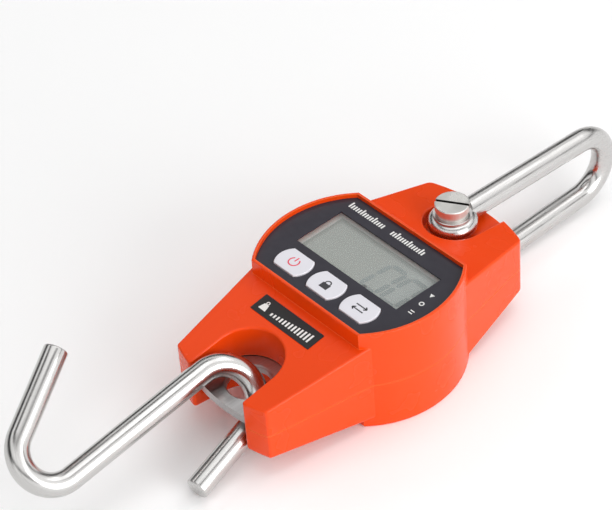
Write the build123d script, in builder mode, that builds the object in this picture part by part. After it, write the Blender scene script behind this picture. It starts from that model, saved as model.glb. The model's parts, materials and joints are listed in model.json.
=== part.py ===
"""Digital hanging scale: plastic housing, shackle on a slotted pin, S-hook, load cell and electronics.

Frame: +Z out of the display, +Y towards the shackle, +X to the right of the display.
The origin is the centre of the round hub's flat back.  All sizes are millimetres.
"""
import os
from math import cos, radians, sin, tan

from build123d import *

# ---------------------------------------------------------------- housing
hub_radius = 35.0            # round middle of the housing
hub_flat = 23.7              # half distance between the two flats cut across the hub
hub_height = 40.7            # back of the hub to the top of the bezel rim
wall = 2.2                   # side walls and floors
parting_z = 18.6             # plane where the two shells meet, also the pull line of the load path
parting_gap = 0.2            # visible joint line between the shells
rim_width = 1.0              # bezel rim round the sunk panel
rim_height = 1.5             # rim top above the panel
panel_thickness = 0.6        # printed film
face_thickness = 1.6         # front shell under the film
edge_round = 0.7             # soft edges of the arms
corner_round = 1.2           # upright corners of the hook arm
end_corner_round = 3.0       # upright corners at the shackle end
arm_back_round = 1.5         # lower edges of the hook arm
rim_round = 0.4
back_round = 0.8
lip_height = 1.4             # tongue of the back shell inside the front shell
lip_root = 2.0               # how far the tongue reaches down into the back shell
lip_clearance = 0.15

# hook-end arm, measured from the hub's centre
hook_arm = dict(
    side=-1, root_half=28.2, root_at=20.8, tip_half=21.9, tip_at=59.9, end_radius=63.5,
    root_top=35.2, tip_top=29.5, root_bottom=3.6, tip_bottom=8.5,
)
# shackle-end arm
shackle_arm = dict(
    side=1, root_half=28.0, root_at=21.0, tip_half=22.0, tip_at=52.0, end_radius=56.7,
    root_top=34.8, tip_top=30.6, root_bottom=3.6, tip_bottom=9.2,
)
notch_gap = 0.5              # notch wall to the load cell plate at each side
notch_centre = 49.2          # distance of its round end's centre from the hub centre
recess_gap = 1.6             # round recess, this much wider than the shackle eye
recess_slot_gap = 1.6        # slot from the recess to the end of the arm
recess_floor_up = 8.8        # front recess floor above the parting plane
recess_floor_down = 7.6      # back recess floor below the parting plane

# ---------------------------------------------------------------- shackle and pin
pin_at = 42.0                # pin axis, distance from the hub centre
pin_radius = 3.5
pin_clearance = 0.05         # running clearance in the load cell and the spacers
rod_radius = 4.0             # 8 mm round bar of shackle and hook
bow_radius = 12.4            # centre line of the bow
bow_at = 102.1               # bow's centre from the hub centre
leg_splay = 1.9              # degrees, each leg opens towards the pin
eye_radius = 8.5
eye_thickness = 6.0          # forged flatter than the bar and flush with its inner side
washer_seat_gap = 0.6        # round seat in the bar's end, this much wider than the washer
eye_flat = 0.3               # what is left between the eye's round edges and its middle
washer_rim = 3.1             # beyond the pin
washer_thickness = 1.0
washer_chamfer = 0.2
head_rim = 2.4               # beyond the pin
head_height = 2.5
head_neck_rim = 1.7
head_neck_height = 1.8
head_round = 0.35
pin_end_chamfer = 0.4
slot_width = 1.1
slot_depth = 1.7
slot_angle = 32.0
spacer_radius = 5.0
spacer_gap = 0.1             # play between the spacers and the load cell
spacer_eye_gap = 0.35        # play between the spacers and the eyes
spacer_hole_clearance = 0.4

# ---------------------------------------------------------------- S-hook
hook_azimuth = -88.1         # heading of the straight shank
hook_elevation = -6.5
hook_roll = 133.5            # turn of the hook's plane about the shank
hook_bend_centre = (-0.35, -59.05, 18.7)
small_bend_radius = 11.6
small_bend_angle = 169.8
large_bend_radius = 10.8
large_bend_angle = 151.3
shank_length = 55.6
tip_length = 29.7
short_length = 27.6
rod_end_round = 0.7

# ---------------------------------------------------------------- load cell
cell_thickness = 3.2
cell_half = 12.1
cell_end_radius = 60.8       # hook end of the plate, concentric with the hub
hook_hole_play = 3.5         # hole for the hook, this much larger than its bar
hook_hole_at = 48.6
hook_hole_chamfer = 0.6
cell_lug_radius = 9.0        # round end at the pin
cell_slot_width = 1.6
cell_slot_at = 7.0
cell_slot_reach = 5.0        # slots pass the middle line by this
cell_opening_clearance = 0.3
cell_screw_x = 7.5
cell_screw_y = -30.5
cell_screw_radius = 1.5
cell_screw_head = 3.0
cell_screw_head_height = 1.6
cell_screw_bite = 4.4        # thread length in the back shell's pillars
gauge_length = 4.6
gauge_width = 3.2
gauge_thickness = 0.2
gauge_pitch_x = 6.4
gauge_pitch_y = 6.0
coating_length = 15.0        # silicone over the gauges
coating_width = 12.0
coating_thickness = 1.2
coating_corner = 2.5
coating_round = 0.5

# ---------------------------------------------------------------- display and keys
window_width = 47.9
window_height = 19.9
window_y = 4.1
window_margin = 1.4          # the shell's opening and the lens are wider than the film's window
lens_thickness = 1.2
lens_clearance = 0.1
glass_margin = 1.75          # glass beyond the window at each side
glass_thickness = 2.4
glass_drop = 0.2             # glass below the face plate
reflector_thickness = 1.6
holder_wall = 0.7
holder_clearance = 0.1
holder_shelf = 3.0           # width of the shelf at each short side
strip_width = 2.2            # rubber contact strip along the top of the glass
strip_inset = 1.0
key_pitch = 15.8
key_y = -14.0
key_radius = 6.7
key_half_height = 4.7
key_raise = 0.55             # key top above the panel
key_travel = 0.4
key_clearance = 0.2
key_flange = 0.6
key_flange_thickness = 0.9
key_round = 0.3
switch_size = 6.0
switch_height = 3.4
plunger_radius = 1.7
plunger_clearance = 0.05
plunger_depth = 1.5          # length of plunger inside its switch

# ---------------------------------------------------------------- circuit board
board_top = 29.6
board_thickness = 1.6
board_gap = 1.8              # board edge to the round wall
board_flat_gap = 1.1         # board edge to the flat walls
board_posts = [(26.0, -12.6), (-26.0, -12.6), (20.0, 18.5), (-20.0, 18.5)]
board_post_radius = 1.7
board_screw_radius = 0.75
board_screw_head = 1.6
board_screw_head_height = 1.0
board_screw_bite = 4.0       # thread length in the posts
board_hole_clearance = 0.2
chip_height = 1.4
chip_places = [(-6.0, 2.0), (12.0, 4.0), (12.0, -8.0), (-18.0, -4.0), (-18.0, 4.0)]
chip_sizes = [(10.0, 10.0), (8.0, 5.0), (3.2, 1.6), (2.0, 1.25), (2.0, 1.25)]
quartz_place = (-5.0, -10.0)
quartz_length = 11.0
quartz_width = 4.4
quartz_height = 3.4
quartz_round = 0.6
lead_radius = 0.6            # insulated battery lead
lead_bend = 2.2
lead_rise = 5.0              # height of the battery leads above the bay roof
lead_reach = 5.0             # sideways run of the battery leads
gauge_lead_radius = 0.7
gauge_lead_bend = 3.0
gauge_lead_x = 13.5          # where the load cell's lead turns up to the board

# ---------------------------------------------------------------- batteries
cell_radius_aaa = 5.25
cell_length_aaa = 44.5
nub_length = 1.2
nub_radius = 1.9
cell_spacing = 11.6
cell_axis_z = 9.2
bay_half_length = 26.0
bay_half_width = 11.9
bay_wall = 1.2
bay_roof_z = 15.0
cover_half_length = 27.0
cover_half_width = 12.9
cover_thickness = 1.6
cover_corner = 0.8
cover_rib_x = 16.0
cover_rib_count = 5
cover_rib_pitch = 2.4
cover_rib_length = 14.0
cover_rib_width = 1.0
cover_rib_depth = 0.5
cover_clearance = 0.25
cover_tab_at = 30.0          # screw tab at each end of the cover
cover_tab_radius = 2.6
cover_screw_length = 5.6
cover_screw_sink = 0.1       # heads stay this far below the cover's face
pad_length = 30.0            # foam pad that presses on the cells
pad_width = 14.0
pad_thickness = 1.6
contact_thickness = 0.4
contact_size = 9.0
bay_foot_z = 0.5             # bay walls start inside the rounded back edge
spring_radius = 2.6
spring_wire = 0.3
spring_turns = 4

# ---------------------------------------------------------------- screws
case_screw_radius = 1.4
case_screw_head = 2.6
case_screw_head_height = 1.8
case_screw_bite = 9.0        # thread length in the front shell
case_screw_seat_z = 12.6
case_screw_places = [(19.5, -29.0), (-19.5, -29.0), (19.0, 28.5), (-19.0, 28.5)]
boss_radius = 3.2
screw_clearance = 0.3
thread_clearance = 0.05
cross_length = 1.4           # cross recess, in head radii
cross_width = 0.3

# ---------------------------------------------------------------- label
label_length = 28.0
label_height = 7.3
label_thickness = 0.2
label_corner = 0.3
label_x = -1.0
label_at = 30.5

# ---------------------------------------------------------------- derived places
notch_half = cell_half + notch_gap
recess_radius = eye_radius + recess_gap
recess_half = eye_radius + recess_slot_gap
eye_round = eye_thickness / 2 - eye_flat
washer_radius = pin_radius + washer_rim
head_radius = pin_radius + head_rim
head_neck_radius = pin_radius + head_neck_rim
hook_hole_radius = rod_radius + hook_hole_play
glass_width = window_width + 2 * glass_margin
glass_height = window_height + 2 * glass_margin
board_radius = hub_radius - wall - board_gap
board_flat = hub_flat - wall - board_flat_gap
panel_top = hub_height - rim_height
panel_seat = panel_top - panel_thickness
face_bottom = panel_seat - face_thickness
board_bottom = board_top - board_thickness
cell_bottom = parting_z - cell_thickness / 2
cell_top = parting_z + cell_thickness / 2
splay = radians(leg_splay)
eye_offset = bow_radius * cos(splay) + tan(splay) * (bow_at - pin_at + bow_radius * sin(splay))
glass_top = face_bottom - glass_drop
glass_bottom = glass_top - glass_thickness
reflector_bottom = glass_bottom - reflector_thickness
key_under = face_bottom - key_travel / 2 - key_flange_thickness
tall = 3 * hub_height        # longer than anything it cuts
wide = 4 * hub_radius


def finish(builder, label):
    """Label one finished piece and write it to its own file."""
    builder.part.label = label
    export_step(builder.part, f"parts/{label}.step")


def arm_top(arm, distance):
    """Height of an arm's sloping front face at a distance from the hub centre."""
    share = (distance - arm["root_at"]) / (arm["tip_at"] - arm["root_at"])
    return arm["root_top"] + share * (arm["tip_top"] - arm["root_top"])


def arm_bottom(arm, distance):
    """Height of an arm's sloping back face at a distance from the hub centre."""
    share = (distance - arm["root_at"]) / (arm["tip_at"] - arm["root_at"])
    return arm["root_bottom"] + share * (arm["tip_bottom"] - arm["root_bottom"])


def arm_half(arm, distance):
    """Half width of an arm at a distance from the hub centre."""
    share = (distance - arm["root_at"]) / (arm["tip_at"] - arm["root_at"])
    return arm["root_half"] + share * (arm["tip_half"] - arm["root_half"])


def notch_plan(grow):
    """Plan of the U notch, grown by a wall when it shapes the cavity."""
    with BuildSketch() as plan:
        with Locations((0, -notch_centre)):
            Circle(notch_half + grow)
        with Locations((0, -notch_centre - hub_radius)):
            Rectangle(2 * (notch_half + grow), 2 * hub_radius)
    return plan.sketch


def recess_plan(grow):
    """Plan of the shackle recess with its slot to the end of the arm."""
    with BuildSketch() as plan:
        with Locations((0, pin_at)):
            Circle(recess_radius + grow)
        with Locations((0, pin_at + hub_radius)):
            Rectangle(2 * (recess_half + grow), 2 * hub_radius)
    return plan.sketch


def arm_block(arm, inset, rounded):
    """One arm as a wedge, with its notch or recesses, optionally with soft edges."""
    side = arm["side"]
    reach = arm["end_radius"] + wall
    with BuildPart() as block:
        with BuildSketch():
            with BuildLine():
                Polyline(
                    (arm_half(arm, 0) - inset, 0),
                    (arm_half(arm, reach) - inset, side * reach),
                    (inset - arm_half(arm, reach), side * reach),
                    (inset - arm_half(arm, 0), 0),
                    close=True,
                )
            make_face()
            Circle(arm["end_radius"] - inset, mode=Mode.INTERSECT)
        extrude(amount=tall)
        with BuildSketch(Plane.YZ):
            with BuildLine():
                Polyline(
                    (0, arm_top(arm, 0) - inset),
                    (side * reach, arm_top(arm, reach) - inset),
                    (side * reach, arm_bottom(arm, reach) + inset),
                    (0, arm_bottom(arm, 0) + inset),
                    close=True,
                )
            make_face()
        extrude(amount=wide, both=True, mode=Mode.INTERSECT)
        if side < 0:
            with BuildSketch():
                add(notch_plan(inset))
            extrude(amount=tall, mode=Mode.SUBTRACT)
        else:
            with BuildSketch(Plane.XY.offset(parting_z + recess_floor_up - inset)):
                add(recess_plan(inset))
            extrude(amount=tall, mode=Mode.SUBTRACT)
            with BuildSketch(Plane.XY.offset(parting_z - recess_floor_down + inset)):
                add(recess_plan(inset))
            extrude(amount=-tall, mode=Mode.SUBTRACT)
        if rounded:
            upright = block.edges().filter_by(Axis.Z).filter_by(lambda edge: abs(edge.center().Y) > hub_flat)
            outer_corners = upright.filter_by(lambda edge: abs(edge.center().X) > recess_half + corner_round)
            fillet(outer_corners, corner_round if side < 0 else end_corner_round)
            for rounding in (edge_round, arm_back_round) if side < 0 else (edge_round,):
                slopes = block.faces().filter_by(lambda face: abs(face.normal_at().Z) > 0.9)
                slopes = slopes.filter_by(lambda face: abs(face.normal_at().Y) > 0.01).sort_by(Axis.Z)
                slope = slopes[-1] if rounding == edge_round else slopes[0]
                fillet(slope.edges().filter_by(lambda edge: abs(edge.center().Y) > 1), rounding)
    return block.part


def body_shape(inset, rounded=False):
    """The closed housing form, or the same form drawn in by a wall."""
    top_z = face_bottom if inset else hub_height
    with BuildPart() as shape:
        with BuildSketch(Plane.XY.offset(inset)):
            Circle(hub_radius - inset)
            Rectangle(wide, 2 * (hub_flat - inset), mode=Mode.INTERSECT)
        extrude(amount=top_z - inset)
        if rounded:
            fillet(shape.faces().sort_by(Axis.Z)[0].edges(), back_round)
            fillet(shape.faces().sort_by(Axis.Z)[-1].edges(), rim_round)
        add(arm_block(hook_arm, inset, rounded))
        add(arm_block(shackle_arm, inset, rounded))
    return shape.part


def key_plan(grow):
    """Plan of one key: a circle with its top and bottom cut flat."""
    with BuildSketch() as plan:
        Circle(key_radius + grow)
        Rectangle(wide, 2 * (key_half_height + grow), mode=Mode.INTERSECT)
    return plan.sketch


def cover_plan(grow):
    """Plan of the battery cover: a plate with a round screw tab at each end."""
    with BuildSketch() as plan:
        RectangleRounded(2 * (cover_half_length + grow), 2 * (cover_half_width + grow), cover_corner + grow)
        Rectangle(2 * cover_tab_at, 2 * (cover_tab_radius + grow))
        with Locations((cover_tab_at, 0), (-cover_tab_at, 0)):
            Circle(cover_tab_radius + grow)
    return plan.sketch


key_places = [(-key_pitch, key_y), (0, key_y), (key_pitch, key_y)]
outside = body_shape(0, rounded=True)
cavity = body_shape(wall)
lip_outer = body_shape(wall / 2)
spacer_hole_radius = spacer_radius + spacer_hole_clearance
os.makedirs("parts", exist_ok=True)


# ---------------------------------------------------------------- front shell
lip_room = lip_height + 2 * lip_clearance
with BuildPart() as lip_groove:
    add(lip_outer)
    split(bisect_by=Plane.XY.offset(parting_z - lip_root), keep=Keep.TOP)
    split(bisect_by=Plane.XY.offset(parting_z + lip_room), keep=Keep.BOTTOM)

with BuildPart() as front_shell:
    add(outside)
    split(bisect_by=Plane.XY.offset(parting_z + parting_gap / 2), keep=Keep.TOP)
    add(cavity, mode=Mode.SUBTRACT)
    add(lip_groove.part, mode=Mode.SUBTRACT)
    # sunk seat of the printed panel
    with BuildSketch(Plane.XY.offset(panel_seat)):
        Circle(hub_radius - rim_width)
        Rectangle(wide, 2 * (hub_flat - rim_width), mode=Mode.INTERSECT)
    extrude(amount=tall, mode=Mode.SUBTRACT)
    # display window and key holes
    with BuildSketch(Plane.XY.offset(face_bottom - wall)):
        with Locations((0, window_y)):
            Rectangle(window_width + 2 * window_margin, window_height + 2 * window_margin)
        with Locations(*key_places):
            add(key_plan(key_clearance))
    extrude(amount=tall, mode=Mode.SUBTRACT)
    # screw bosses, set on the inside of the sloping front faces
    for place in case_screw_places:
        arm = hook_arm if place[1] < 0 else shackle_arm
        with BuildSketch(Plane.XY.offset(parting_z + parting_gap / 2)):
            with Locations(place):
                Circle(boss_radius)
        extrude(amount=arm_top(arm, abs(place[1])) - wall - parting_z)
    with BuildSketch(Plane.XY.offset(parting_z)):
        with Locations(*case_screw_places):
            Circle(case_screw_radius + thread_clearance)
    extrude(amount=case_screw_bite + screw_clearance, mode=Mode.SUBTRACT)
    # posts that carry the circuit board
    with BuildSketch(Plane.XY.offset(board_top)):
        with Locations(*board_posts):
            Circle(board_post_radius)
    extrude(amount=face_bottom - board_top)
    with BuildSketch(Plane.XY.offset(board_top)):
        with Locations(*board_posts):
            Circle(board_screw_radius + thread_clearance)
    extrude(amount=face_bottom - board_top - wall / 2, mode=Mode.SUBTRACT)
    # holes for the pin spacer and the load cell plate
    with BuildSketch(Plane.XY.offset(parting_z)):
        with Locations((0, pin_at)):
            Circle(spacer_hole_radius)
    extrude(amount=recess_floor_up + 1, mode=Mode.SUBTRACT)
    with BuildSketch(Plane.XY.offset(cell_bottom - cell_opening_clearance)):
        with Locations((0, -notch_centre)):
            Rectangle(2 * (cell_half + cell_opening_clearance), 2 * (notch_half + 2 * wall))
    extrude(amount=cell_thickness + 2 * cell_opening_clearance, mode=Mode.SUBTRACT)
finish(front_shell, "front_shell")

# ---------------------------------------------------------------- back shell
bay_top = bay_roof_z + bay_wall
cover_tabs = [(cover_tab_at, 0), (-cover_tab_at, 0)]
cell_screw_places = [(cell_screw_x, cell_screw_y), (-cell_screw_x, cell_screw_y)]
with BuildPart() as tongue:
    add(body_shape(wall / 2 + lip_clearance))
    split(bisect_by=Plane.XY.offset(parting_z - lip_root), keep=Keep.TOP)
    split(bisect_by=Plane.XY.offset(parting_z + lip_height), keep=Keep.BOTTOM)
    add(cavity, mode=Mode.SUBTRACT)

with BuildPart() as back_shell:
    add(outside)
    split(bisect_by=Plane.XY.offset(parting_z - parting_gap / 2), keep=Keep.BOTTOM)
    add(cavity, mode=Mode.SUBTRACT)
    # tongue that lines up the two shells
    add(tongue.part)
    # battery bay with its roof, open at the back
    with BuildSketch(Plane.XY.offset(bay_foot_z)):
        Rectangle(2 * (bay_half_length + bay_wall), 2 * (bay_half_width + bay_wall))
    extrude(amount=bay_top - bay_foot_z)
    with BuildSketch():
        Rectangle(2 * bay_half_length, 2 * bay_half_width)
    extrude(amount=bay_roof_z, mode=Mode.SUBTRACT)
    # posts for the cover screws
    with BuildSketch(Plane.XY.offset(cover_thickness)):
        with Locations(*cover_tabs):
            Circle(cover_tab_radius)
    extrude(amount=cover_screw_length + cover_thickness)
    # sunk seat of the battery cover with its two screw tabs
    with BuildSketch():
        add(cover_plan(cover_clearance))
    extrude(amount=cover_thickness + cover_clearance / 2, mode=Mode.SUBTRACT)
    with BuildSketch():
        with Locations(*cover_tabs):
            Circle(board_screw_radius + thread_clearance)
    extrude(amount=cover_screw_length + 2 * cover_thickness, mode=Mode.SUBTRACT)
    # case screw pillars with counterbores from the back
    pillar_foot_z = hook_arm["root_bottom"] + wall
    with BuildSketch(Plane.XY.offset(pillar_foot_z)):
        with Locations(*case_screw_places):
            Circle(boss_radius + bay_wall)
    extrude(amount=parting_z - parting_gap / 2 - pillar_foot_z)
    with BuildSketch():
        with Locations(*case_screw_places):
            Circle(boss_radius)
    extrude(amount=case_screw_seat_z, mode=Mode.SUBTRACT)
    with BuildSketch():
        with Locations(*case_screw_places):
            Circle(case_screw_radius + screw_clearance)
    extrude(amount=parting_z, mode=Mode.SUBTRACT)
    # two pillars under the fixed end of the load cell
    with BuildSketch(Plane.XY.offset(arm_bottom(hook_arm, -cell_screw_y) + wall / 2)):
        with Locations(*cell_screw_places):
            Circle(boss_radius)
    extrude(amount=cell_bottom - arm_bottom(hook_arm, -cell_screw_y) - wall / 2)
    with BuildSketch(Plane.XY.offset(cell_bottom)):
        with Locations(*cell_screw_places):
            Circle(cell_screw_radius + thread_clearance)
    extrude(amount=-(cell_screw_bite + screw_clearance), mode=Mode.SUBTRACT)
    # holes for the pin spacer and the load cell plate
    with BuildSketch(Plane.XY.offset(parting_z)):
        with Locations((0, pin_at)):
            Circle(spacer_hole_radius)
    extrude(amount=-recess_floor_down - 1, mode=Mode.SUBTRACT)
    with BuildSketch(Plane.XY.offset(cell_bottom - cell_opening_clearance)):
        with Locations((0, -notch_centre)):
            Rectangle(2 * (cell_half + cell_opening_clearance), 2 * (notch_half + 2 * wall))
    extrude(amount=cell_thickness + 2 * cell_opening_clearance, mode=Mode.SUBTRACT)
finish(back_shell, "back_shell")

# ---------------------------------------------------------------- battery cover
with BuildPart() as battery_cover:
    with BuildSketch(Plane.XY):
        add(cover_plan(0))
    extrude(amount=cover_thickness)
    # finger ribs on the outer face
    with BuildSketch():
        with Locations((cover_rib_x, 0), (-cover_rib_x, 0)):
            with GridLocations(cover_rib_pitch, 0, cover_rib_count, 1):
                SlotOverall(cover_rib_length, cover_rib_width, rotation=90)
    extrude(amount=cover_rib_depth, mode=Mode.SUBTRACT)
    with BuildSketch():
        with Locations(*cover_tabs):
            Circle(board_screw_radius + screw_clearance)
    extrude(amount=tall, mode=Mode.SUBTRACT)
    with BuildSketch():
        with Locations(*cover_tabs):
            Circle(board_screw_head + cover_clearance)
    extrude(amount=cover_thickness / 2, mode=Mode.SUBTRACT)
finish(battery_cover, "battery_cover")


def screw(label, places, seat_z, length, radius, head, head_height, up=1):
    """A group of like pan-head screws seated at seat_z; up is -1 when the threads point down."""
    with BuildPart() as group:
        with BuildSketch(Plane.XY.offset(seat_z)):
            with Locations(*places):
                Circle(radius)
        extrude(amount=up * length)
        with BuildSketch(Plane.XY.offset(seat_z)):
            with Locations(*places):
                Circle(head)
        extrude(amount=-up * head_height)
        # cross recess
        with BuildSketch(Plane.XY.offset(seat_z - up * head_height)):
            with Locations(*places):
                Rectangle(cross_length * head, cross_width * head)
                Rectangle(cross_width * head, cross_length * head)
        extrude(amount=up * head_height / 2, mode=Mode.SUBTRACT)
    finish(group, label)


case_screw_length = parting_z - case_screw_seat_z + case_screw_bite
board_screw_length = board_thickness + board_screw_bite
cell_screw_length = cell_thickness + cell_screw_bite
cover_head_height = cover_thickness / 2 - cover_screw_sink
screw(
    "cover_screws", cover_tabs, cover_thickness / 2, cover_screw_length,
    board_screw_radius, board_screw_head, cover_head_height,
)
screw(
    "case_screws", case_screw_places, case_screw_seat_z, case_screw_length,
    case_screw_radius, case_screw_head, case_screw_head_height,
)
screw(
    "board_screws", board_posts, board_bottom, board_screw_length,
    board_screw_radius, board_screw_head, board_screw_head_height,
)
screw(
    "load_cell_screws", cell_screw_places, cell_top, cell_screw_length,
    cell_screw_radius, cell_screw_head, cell_screw_head_height, up=-1,
)

# ---------------------------------------------------------------- printed panel, lens, keys
with BuildPart() as display_panel:
    with BuildSketch(Plane.XY.offset(panel_seat)):
        Circle(hub_radius - rim_width - lens_clearance)
        Rectangle(wide, 2 * (hub_flat - rim_width - lens_clearance), mode=Mode.INTERSECT)
        with Locations((0, window_y)):
            Rectangle(window_width, window_height, mode=Mode.SUBTRACT)
        with Locations(*key_places):
            add(key_plan(key_clearance), mode=Mode.SUBTRACT)
    extrude(amount=panel_thickness)
finish(display_panel, "display_panel")

with BuildPart() as display_lens:
    with BuildSketch(Plane.XY.offset(panel_seat - lens_thickness)):
        with Locations((0, window_y)):
            Rectangle(
                window_width + 2 * (window_margin - lens_clearance),
                window_height + 2 * (window_margin - lens_clearance),
            )
    extrude(amount=lens_thickness)
finish(display_lens, "display_lens")

key_labels = ("power", "hold", "unit")
key_top = panel_top + key_raise
switch_top = board_top + switch_height
for key_label, (key_x, key_centre_y) in zip(key_labels, key_places):
    with BuildPart() as key:
        with BuildSketch(Plane.XY.offset(key_under)):
            with Locations((key_x, key_centre_y)):
                add(key_plan(key_flange))
        extrude(amount=key_flange_thickness)
        with BuildSketch(Plane.XY.offset(key_under)):
            with Locations((key_x, key_centre_y)):
                add(key_plan(0))
        extrude(amount=key_top - key_under)
        fillet(key.faces().sort_by(Axis.Z)[-1].edges(), key_round)
    finish(key, f"{key_label}_key")
    with BuildPart() as plunger:
        with BuildSketch(Plane.XY.offset(switch_top - plunger_depth)):
            with Locations((key_x, key_centre_y)):
                Circle(plunger_radius)
        extrude(amount=key_under - switch_top + plunger_depth)
    finish(plunger, f"{key_label}_plunger")

with BuildPart() as key_switches:
    with BuildSketch(Plane.XY.offset(board_top)):
        with Locations(*key_places):
            Rectangle(switch_size, switch_size)
    extrude(amount=switch_height)
    with BuildSketch(Plane.XY.offset(switch_top - plunger_depth - 2 * key_travel)):
        with Locations(*key_places):
            Circle(plunger_radius + plunger_clearance)
    extrude(amount=tall, mode=Mode.SUBTRACT)
finish(key_switches, "key_switches")

# ---------------------------------------------------------------- display stack
with BuildPart() as lcd_glass:
    with BuildSketch(Plane.XY.offset(glass_bottom)):
        with Locations((0, window_y)):
            Rectangle(glass_width, glass_height)
    extrude(amount=glass_thickness)
finish(lcd_glass, "lcd_glass")

with BuildPart() as lcd_reflector:
    with BuildSketch(Plane.XY.offset(reflector_bottom)):
        with Locations((0, window_y - strip_width)):
            Rectangle(glass_width, glass_height - 2 * strip_width)
    extrude(amount=reflector_thickness)
finish(lcd_reflector, "lcd_reflector")

with BuildPart() as contact_strip:
    with BuildSketch(Plane.XY.offset(board_top)):
        with Locations((0, window_y + glass_height / 2 - strip_width / 2)):
            Rectangle(glass_width - 2 * strip_inset, strip_width)
    extrude(amount=glass_bottom - board_top)
finish(contact_strip, "contact_strip")

with BuildPart() as lcd_holder:
    with BuildSketch(Plane.XY.offset(board_top)):
        with Locations((0, window_y)):
            Rectangle(
                glass_width + 2 * (holder_clearance + holder_wall),
                glass_height + 2 * (holder_clearance + holder_wall),
            )
            Rectangle(
                glass_width + 2 * holder_clearance, glass_height + 2 * holder_clearance, mode=Mode.SUBTRACT
            )
    extrude(amount=glass_top - board_top)
    # shelf that carries the reflector
    with BuildSketch(Plane.XY.offset(board_top)):
        with Locations((0, window_y - strip_width)):
            Rectangle(glass_width + 2 * holder_clearance, glass_height - 2 * strip_width)
            Rectangle(glass_width - 2 * holder_shelf, glass_height - 4 * strip_width, mode=Mode.SUBTRACT)
    extrude(amount=reflector_bottom - board_top)
finish(lcd_holder, "lcd_holder")

# ---------------------------------------------------------------- circuit board and its parts
with BuildPart() as circuit_board:
    with BuildSketch(Plane.XY.offset(board_bottom)):
        Circle(board_radius)
        Rectangle(wide, 2 * board_flat, mode=Mode.INTERSECT)
        with Locations(*board_posts):
            Circle(board_screw_radius + board_hole_clearance, mode=Mode.SUBTRACT)
    extrude(amount=board_thickness)
finish(circuit_board, "circuit_board")

with BuildPart() as board_chips:
    with BuildSketch(Plane.XY.offset(board_bottom)):
        for place, size in zip(chip_places, chip_sizes):
            with Locations(place):
                Rectangle(*size)
    extrude(amount=-chip_height)
finish(board_chips, "board_chips")

with BuildPart() as quartz_can:
    with BuildSketch(Plane.XY.offset(board_bottom)):
        with Locations(quartz_place):
            SlotOverall(quartz_length, quartz_width)
    extrude(amount=-quartz_height)
    fillet(quartz_can.faces().sort_by(Axis.Z)[0].edges(), quartz_round)
finish(quartz_can, "quartz_can")

# ---------------------------------------------------------------- load cell
with BuildPart() as load_cell:
    with BuildSketch(Plane.XY.offset(cell_bottom)):
        Circle(cell_end_radius)
        with Locations((0, pin_at - cell_lug_radius - wide / 2)):
            Rectangle(2 * cell_half, wide, mode=Mode.INTERSECT)
        with Locations((0, pin_at - cell_lug_radius)):
            Rectangle(2 * cell_lug_radius, 2 * cell_lug_radius)
        with Locations((0, pin_at)):
            Circle(cell_lug_radius)
            Circle(pin_radius + pin_clearance, mode=Mode.SUBTRACT)
        with Locations((0, -hook_hole_at)):
            Circle(hook_hole_radius, mode=Mode.SUBTRACT)
        # two slots from opposite sides leave an S-shaped spring body
        slot_length = cell_half + cell_slot_reach
        with Locations((slot_length / 2 - cell_slot_reach, cell_slot_at),
                       (cell_slot_reach - slot_length / 2, -cell_slot_at)):
            Rectangle(slot_length, cell_slot_width, mode=Mode.SUBTRACT)
        with Locations(*cell_screw_places):
            Circle(cell_screw_radius + board_hole_clearance, mode=Mode.SUBTRACT)
    extrude(amount=cell_thickness)
    hole_edges = load_cell.edges().filter_by(GeomType.CIRCLE).filter_by(
        lambda edge: abs(edge.radius - hook_hole_radius) < 0.01
    )
    chamfer(hole_edges, hook_hole_chamfer)
finish(load_cell, "load_cell")

with BuildPart() as strain_gauges:
    with BuildSketch(Plane.XY.offset(cell_top)):
        with GridLocations(gauge_pitch_x, gauge_pitch_y, 2, 2):
            Rectangle(gauge_length, gauge_width)
    extrude(amount=gauge_thickness)
finish(strain_gauges, "strain_gauges")

with BuildPart() as gauge_coating:
    with BuildSketch(Plane.XY.offset(cell_top)):
        RectangleRounded(coating_length, coating_width, coating_corner)
    extrude(amount=coating_thickness)
    fillet(gauge_coating.faces().sort_by(Axis.Z)[-1].edges(), coating_round)
    add(strain_gauges.part, mode=Mode.SUBTRACT)
finish(gauge_coating, "gauge_coating")

# ---------------------------------------------------------------- shackle, pin, washer, spacers
eye_up_z = parting_z + eye_offset
eye_down_z = parting_z - eye_offset
eye_up_inside = eye_up_z - rod_radius
eye_down_inside = eye_down_z + rod_radius
eye_top = eye_up_inside + eye_thickness
eye_bottom = eye_down_inside - eye_thickness
bore_radius = pin_radius + pin_clearance
with BuildPart() as eye:
    Cylinder(eye_radius, eye_thickness)
    fillet(eye.edges(), eye_round)

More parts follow.
